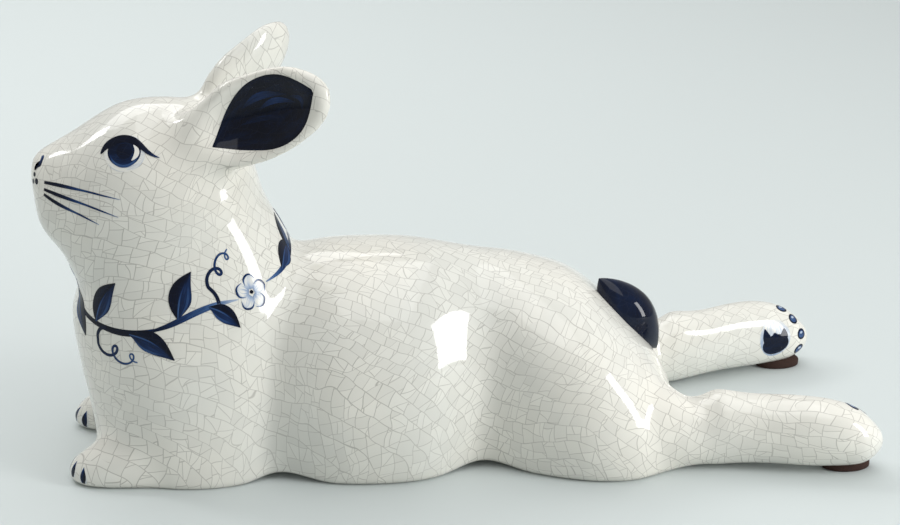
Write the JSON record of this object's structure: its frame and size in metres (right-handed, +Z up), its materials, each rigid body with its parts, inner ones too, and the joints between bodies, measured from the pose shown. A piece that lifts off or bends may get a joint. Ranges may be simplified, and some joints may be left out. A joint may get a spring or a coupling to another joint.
{
  "type": "ceramic rabbit figurine",
  "caption": "Hollow glazed ceramic rabbit lying with its head raised, hind legs stretched out behind, crackle glaze and blue brushwork; decorative figure that stands on a flat base.",
  "frame": {"origin": "on the ground under the middle of the overall box", "axes": "+X from the nose towards the hind toes, +Y towards the rabbit's right side, +Z up"},
  "size_m": [0.39, 0.1544, 0.204],
  "materials": {
    "glaze": "glossy crackle glaze with blue brushwork",
    "blue_glaze": "glossy dark blue glaze",
    "foot_pad": "matte brown felt"
  },
  "bodies": {
    "root": {"torso": "glaze", "head": "glaze", "left_ear": "glaze", "right_ear": "glaze", "left_foreleg": "glaze", "right_foreleg": "glaze", "left_hind_leg": "glaze", "right_hind_leg": "glaze", "tail": "blue_glaze", "left_foot_pad": "foot_pad", "right_foot_pad": "foot_pad"}
  },
  "joints": []
}
